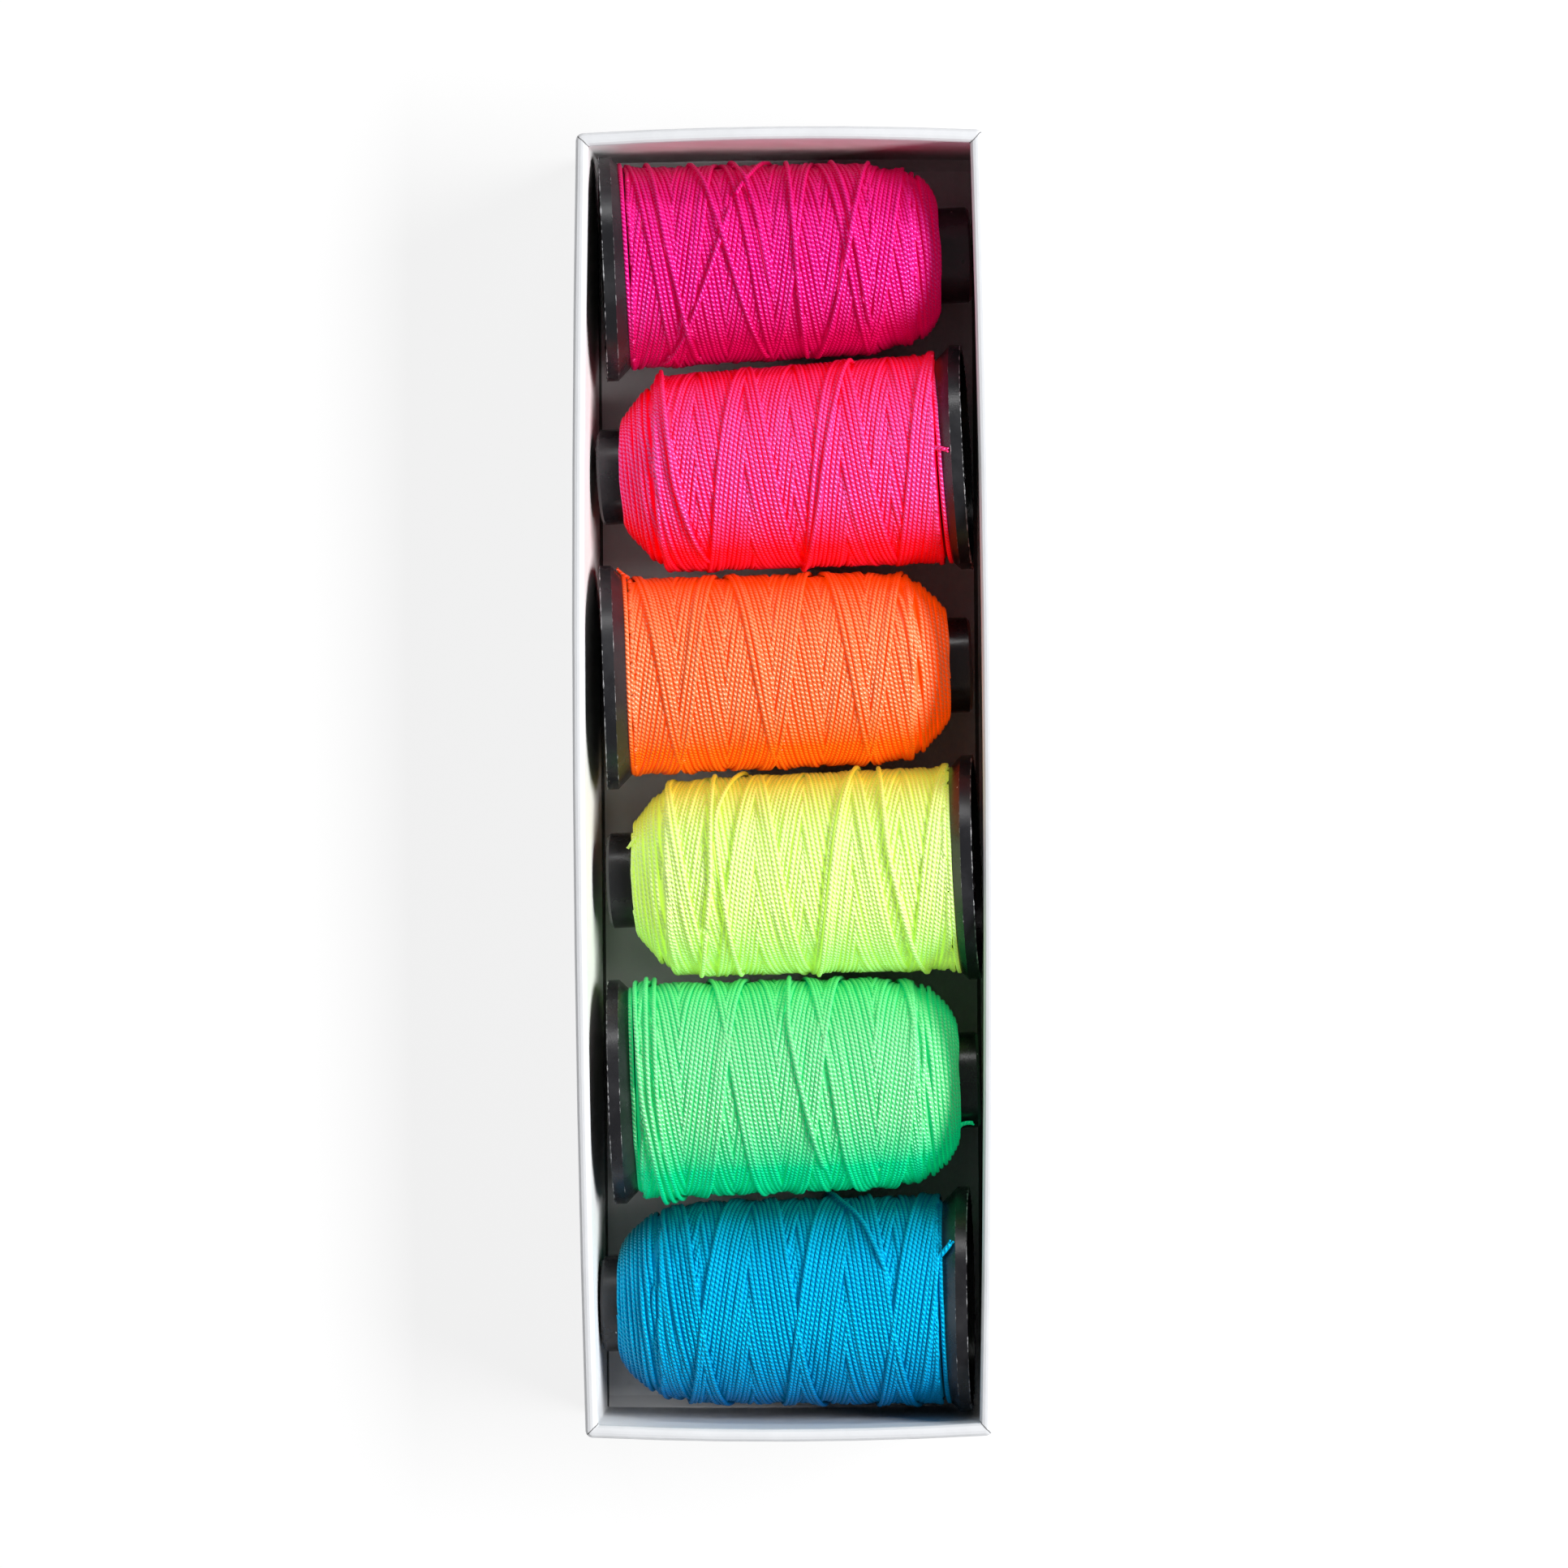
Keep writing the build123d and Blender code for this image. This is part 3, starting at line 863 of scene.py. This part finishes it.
def tubeMesh(lines, normals, radii, sides, flat=1.0):
    # Closed tubes along lines of points. UV X is in millimetres along them, and Y from 0 to 1 round them
    # from the crown.
    verts, faces, uvs, base = [], [], [], 0
    angles = (np.arange(sides) + 0.5) * fullTurn / sides
    heights = np.where(np.cos(angles) > 0, flat, 1) * np.cos(angles)
    for line, normal, radius in zip(lines, normals, radii):
        tangent = unit(np.gradient(line, axis=0))
        across = unit(np.cross(tangent, normal))
        upward = np.cross(across, tangent)
        spokes = heights[:, None] * upward[:, None, :] + np.sin(angles)[:, None] * across[:, None, :]
        verts.append((line[:, None, :] + np.reshape(radius, (-1, 1, 1)) * spokes).reshape(-1, 3))
        run = np.concatenate([[0], np.cumsum(np.linalg.norm(np.diff(line, axis=0), axis=1))]) / mm
        n = len(line)
        i = np.arange(n - 1)[:, None]
        j = np.arange(sides)[None, :]
        k = (j + 1) % sides
        quad = np.stack([i * sides + j, (i + 1) * sides + j, (i + 1) * sides + k, i * sides + k], -1)
        faces.append((base + quad.reshape(-1, 4), 4))
        u0, u1 = (np.broadcast_to(part[:, None], (n - 1, sides)) for part in (run[:-1], run[1:]))
        v0, v1 = (np.broadcast_to((j + step) / sides, (n - 1, sides)) for step in (0.5, 1.5))
        uvs.append(np.stack([u0, v0, u1, v0, u1, v1, u0, v1], -1).reshape(-1, 2))
        for end, order in ((0, range(sides)), (n - 1, range(sides - 1, -1, -1))):
            faces.append((base + end * sides + np.array([list(order)]), sides))
            uvs.append(np.full((sides, 2), run[end]))
        base += n * sides
    return np.concatenate(verts), faces, np.concatenate(uvs)


def buildMesh(name, verts, faces, uvs, place):
    mesh = bpy.data.meshes.new(name)
    loops = np.concatenate([f.reshape(-1) for f, size in faces])
    sizes = np.concatenate([np.full(len(f), size) for f, size in faces])
    mesh.vertices.add(len(verts))
    mesh.vertices.foreach_set("co", verts.reshape(-1).astype(np.float32))
    mesh.loops.add(len(loops))
    mesh.loops.foreach_set("vertex_index", loops.astype(np.int32))
    mesh.polygons.add(len(sizes))
    mesh.polygons.foreach_set("loop_start", np.concatenate([[0], np.cumsum(sizes)[:-1]]).astype(np.int32))
    mesh.update(calc_edges=True)
    layer = mesh.uv_layers.new(name="UVMap")
    layer.data.foreach_set("uv", uvs.reshape(-1).astype(np.float32))
    # rise: how far up the round of the spool each point lies, 1 at the top and -1 underneath;
    # facing: how far it looks towards -Y; the thread finish paints its light and shade by both
    away = unit((verts - place["mouth"]) @ np.stack([place["up"], place["side"]], 1))
    facing = -away @ np.array([place["up"][1], place["side"][1]])
    for label, values in (("rise", away[:, 0]), ("facing", facing)):
        mesh.attributes.new(label, "FLOAT", "POINT").data.foreach_set("value", values.astype(np.float32))
    mesh.validate()
    mesh.shade_smooth()
    thing = bpy.data.objects.new(name, mesh)
    bpy.context.collection.objects.link(thing)
    return thing


def toWorld(place, station, radius, phi):
    # Points of a spool in the frame, and the directions from its axis to them.
    out = place["up"][None, :] * np.cos(phi)[:, None] + place["side"][None, :] * np.sin(phi)[:, None]
    return place["mouth"] + mm * (place["nose"][None, :] * station[:, None] + out * radius[:, None]), out


def fillingMesh(surface, place):
    # Closed turned filling under the threads, which stays outside the core's plate and flare.
    core, w = coreSettings, windingSettings
    inner = core["tubeRadius"] + w["fillingGap"]
    along = np.linspace(0, surface.length, w["fillingSteps"])
    station, radius, _, _ = surface.at(along, -w["sink"])
    start = np.argmax(station + radius > core["flareSum"])
    kept = slice(start, None, w["fillingEvery"])
    station, radius = station[kept], np.maximum(radius[kept], inner)
    plate = core["plateStation"]
    station = np.concatenate([[plate, plate], station, [station[-1]]])
    radius = np.concatenate([[inner, core["flareSum"] - plate], radius, [inner]])
    around = w["fillingAround"]
    phi = np.arange(around) * fullTurn / around
    rows = [toWorld(place, np.full(around, s), np.full(around, r), phi)[0] for s, r in zip(station, radius)]
    n = len(rows)
    i = np.arange(n)[:, None]
    j = np.arange(around)[None, :]
    k = (j + 1) % around
    after = (i + 1) % n
    quad = np.stack([i * around + j, i * around + k, after * around + k, after * around + j], -1)
    # UV Y of 0.5 is the bottom of a thread's round, so the filling takes the painted gap shade all over
    return np.concatenate(rows), [(quad.reshape(-1, 4), 4)], np.full((quad.size, 2), 0.5)


def makeWinding(name):
    w = windingSettings
    place = spoolPlace(name)
    surface = Surface(windingOutline(name, place), w["shoulderPull"][name])
    laid = windSpool(name, surface)
    lines, normals = [], []
    for along, phi, level in seenRuns(surface, laid):
        pick = np.unique(np.concatenate([np.arange(0, len(along), w["pointEvery"]), [len(along) - 1]]))
        station, radius, nStation, nRadius = surface.at(along[pick], level[pick] - w["crownDrop"])
        radius = np.maximum(radius, coreSettings["flareSum"] + w["flareLift"] - station)
        points, out = toWorld(place, station, radius, phi[pick])
        lines.append(points)
        normals.append(place["nose"][None, :] * nStation[:, None] + out * nRadius[:, None])
    radii = [w["threadRadius"] * mm] * len(lines)
    verts, faces, uvs = tubeMesh(lines, normals, radii, w["sides"], w["flatness"])
    baseVerts, baseFaces, baseUvs = fillingMesh(surface, place)
    faces = faces + [(f + len(verts), size) for f, size in baseFaces]
    verts, uvs = np.concatenate([verts, baseVerts]), np.concatenate([uvs, baseUvs])
    thing = buildMesh(name + "Winding", verts, faces, uvs, place)
    thing.data.materials.append(threadFinishes[name])
    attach(thing, name + "_spool")
    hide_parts(name + "_thread")
    print(name, "winding:", len(lines), "stretches,", sum(len(f) * (s - 2) for f, s in faces), "triangles")


for name in spoolNames:
    makeWinding(name)
print("windings made")


flashSettings = {
    # stations, radii and thicknesses of the lines round the flange, the torn edge first
    "lines": [(0.06, 23.70, 0.085), (2.42, 23.66, 0.045)],
    "points": 420,
    "tear": 0.55,             # how unevenly they are torn
    "tearSpread": (0.25, 0.5, 1, 0.5, 0.25),
    "tearLimits": (0.25, 2.6),
    "sides": 5,
    "seed": 31,
}


def makeFlash(name, order):
    place = spoolPlace(name)
    rng = np.random.default_rng(flashSettings["seed"] + order)
    spread = flashSettings["tearSpread"]
    lines, normals, radii = [], [], []
    for station, radius, thick in flashSettings["lines"]:
        phi = np.linspace(0, fullTurn, flashSettings["points"] + 1)
        tear = np.convolve(rng.normal(0, 1, flashSettings["points"] + len(spread)), spread, "valid")
        tear = np.clip(1 + flashSettings["tear"] * tear, *flashSettings["tearLimits"])
        tear[-1] = tear[0]
        line, out = toWorld(place, np.full(len(phi), station), np.full(len(phi), radius), phi)
        lines.append(line)
        normals.append(out)
        radii.append(thick * mm * tear)
    verts, faces, uvs = tubeMesh(lines, normals, radii, flashSettings["sides"])
    thing = buildMesh(name + "Flash", verts, faces, uvs, place)
    thing.data.materials.append(flashFinish)
    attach(thing, name + "_spool")


for order, name in enumerate(spoolNames):
    makeFlash(name, order)
print("flange lines made")


endSettings = {
    # stations, radii and angles along each cut end
    "paths": {
        "magenta": [(70.6, 12.4, 124), (72.0, 11.2, 125), (73.8, 10.75, 125), (75.6, 11.0, 126)],
        "pink": [(6.8, 21.0, 3.4), (5.6, 22.2, 3.2), (4.6, 22.9, 2.6), (3.5, 23.6, 1.7)],
        "orange": [(6.2, 21.2, -79), (5.4, 21.7, -80), (4.8, 22.1, -81), (4.2, 22.6, -82)],
        "yellow": [(70.9, 14.4, 40), (71.6, 13.6, 39.5), (72.2, 13.0, 38.5), (72.8, 12.3, 36)],
        "green": [(72.6, 13.2, 51), (73.8, 11.6, 51), (74.9, 11.2, 51.5), (75.7, 11.3, 50.8)],
        "blue": [(6.1, 21.3, 28.6), (5.2, 22.2, 29.6), (4.3, 23.0, 31.5), (3.5, 23.6, 33.5)],
    },
    "thickness": {"magenta": 1.0, "pink": 1.0, "orange": 0.8, "yellow": 0.7, "green": 0.9, "blue": 1.15},
    "taper": (1.0, 0.94),
    "points": 25,
    "easings": 3,
    "sides": 10,
    # the plies that the tip opens into
    "frayLength": 0.75,
    "frayShorter": 0.18,      # by which each ply is shorter than the last
    "frayRadius": 0.24,
    "frayTaper": (1.1, 0.85),
    "frayTurn": 0.6,          # radians
    "fraySpread": 0.42,
    "frayOpening": (0.42, 0.58),     # spread at a ply's root, and what is added towards its tip
    "frayUneven": (0.5, 5),   # how much the plies differ, and how fast that turns from ply to ply
    "frayFrom": -0.5,         # where a ply starts, in shares of its length before the tip
    "frayPoints": 9,
}


def makeEnd(name):
    # A short cut end: one twisted thread that opens into its plies at the tip.
    e = endSettings
    place = spoolPlace(name)
    path = np.array(e["paths"][name], float)
    fine = np.linspace(0, len(path) - 1, e["points"])
    station, radius, angle = (np.interp(fine, np.arange(len(path)), path[:, i]) for i in range(3))
    line, out = toWorld(place, station, radius, np.radians(angle))
    for easing in range(e["easings"]):
        line[1:-1] = (line[:-2] + 2 * line[1:-1] + line[2:]) / 4
    lines, normals = [line], [out]
    thickness = e["thickness"][name] * mm
    radii = [windingSettings["threadRadius"] * thickness * np.linspace(*e["taper"], len(line))]
    ahead = line[-1] - line[-3]
    ahead /= np.linalg.norm(ahead)
    across = np.cross(ahead, out[-1])
    root, more = e["frayOpening"]
    uneven, unevenRate = e["frayUneven"]
    for ply in range(threadFinish["plies"]):
        turn = fullTurn * ply / threadFinish["plies"] + e["frayTurn"]
        away = across * math.cos(turn) + out[-1] * math.sin(turn)
        reach = np.linspace(e["frayFrom"], 1, e["frayPoints"])[:, None]
        opened = root + more * np.clip(reach, 0, 1) * (1 + uneven * math.cos(unevenRate * ply))
        length = e["frayLength"] * mm
        forward = ahead * reach * length * (1 - e["frayShorter"] * ply)
        lines.append(line[-1] + forward + away * (e["fraySpread"] * thickness * opened))
        normals.append(np.tile(out[-1], (e["frayPoints"], 1)))
        radii.append(e["frayRadius"] * thickness * np.linspace(*e["frayTaper"], e["frayPoints"]))
    verts, faces, uvs = tubeMesh(lines, normals, radii, e["sides"])
    thing = buildMesh(name + "End", verts, faces, uvs, place)
    thing.data.materials.append(threadFinishes[name])
    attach(thing, name + "_spool")
    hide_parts(name + "_thread_end")


for name in spoolNames:
    makeEnd(name)
print("thread ends made")
